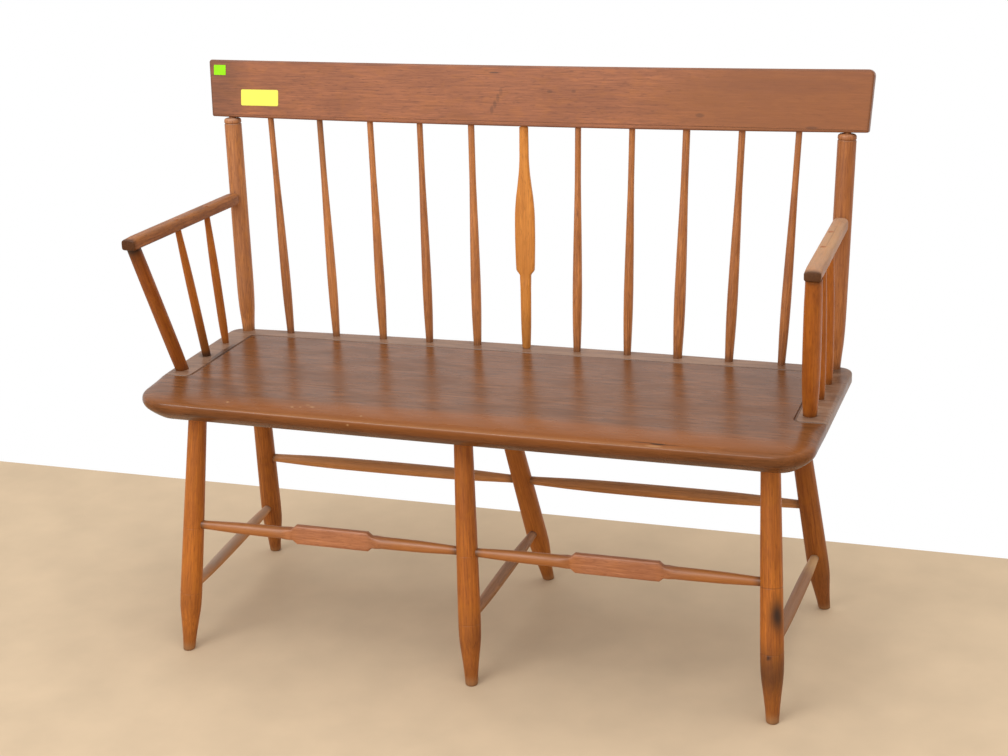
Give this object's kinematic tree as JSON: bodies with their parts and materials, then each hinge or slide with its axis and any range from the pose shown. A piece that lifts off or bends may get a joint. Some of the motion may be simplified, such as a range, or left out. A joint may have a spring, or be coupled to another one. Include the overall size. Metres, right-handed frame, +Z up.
{
  "type": "deacons bench",
  "caption": "Long wooden settee with a plank seat, spindle back with a flat arrow in the middle, board crest, open arms and turned splayed legs.",
  "frame": {"origin": "on the floor, under the middle of the bench's bounding box", "axes": "+X to the sitter's left along the length, +Y from the front to the back, +Z up"},
  "size_m": [1.124, 0.467, 0.9028],
  "materials": {
    "seat_board": "worn varnish",
    "crest_board": "worn varnish",
    "front_leg_wood": "worn varnish",
    "rear_leg_wood": "dark worn varnish",
    "spindle_wood": "worn varnish",
    "arrow_wood": "worn varnish",
    "post_wood": "worn varnish",
    "arm_wood": "worn varnish",
    "arm_post_wood": "worn varnish",
    "paddle_wood": "worn varnish",
    "stretcher_wood": "worn varnish",
    "green_paper": "matt coated paper",
    "yellow_paper": "matt coated paper"
  },
  "bodies": {
    "root": {"seat": "seat_board", "crest_rail": "crest_board", "back_spindle_arrow": "arrow_wood", "label_green": "green_paper", "label_yellow": "yellow_paper", "leg_front_left": "front_leg_wood", "leg_front_middle": "front_leg_wood", "leg_front_right": "front_leg_wood", "leg_rear_left": "rear_leg_wood", "leg_rear_middle": "rear_leg_wood", "leg_rear_right": "rear_leg_wood", "back_spindle_1": "spindle_wood", "back_spindle_2": "spindle_wood", "back_spindle_3": "spindle_wood", "back_spindle_4": "spindle_wood", "back_spindle_5": "spindle_wood", "back_spindle_6": "spindle_wood", "back_spindle_7": "spindle_wood", "back_spindle_8": "spindle_wood", "back_spindle_9": "spindle_wood", "back_spindle_10": "spindle_wood", "back_post_left": "post_wood", "arm_left": "arm_wood", "arm_post_left": "arm_post_wood", "arm_spindle_left_front": "arm_post_wood", "arm_spindle_left_rear": "arm_post_wood", "stretcher_front_left": "paddle_wood", "stretcher_rear_left": "stretcher_wood", "stretcher_side_left": "stretcher_wood", "back_post_right": "post_wood", "arm_right": "arm_wood", "arm_post_right": "arm_post_wood", "arm_spindle_right_front": "arm_post_wood", "arm_spindle_right_rear": "arm_post_wood", "stretcher_front_right": "paddle_wood", "stretcher_rear_right": "stretcher_wood", "stretcher_side_right": "stretcher_wood", "stretcher_side_middle": "stretcher_wood"}
  },
  "joints": []
}
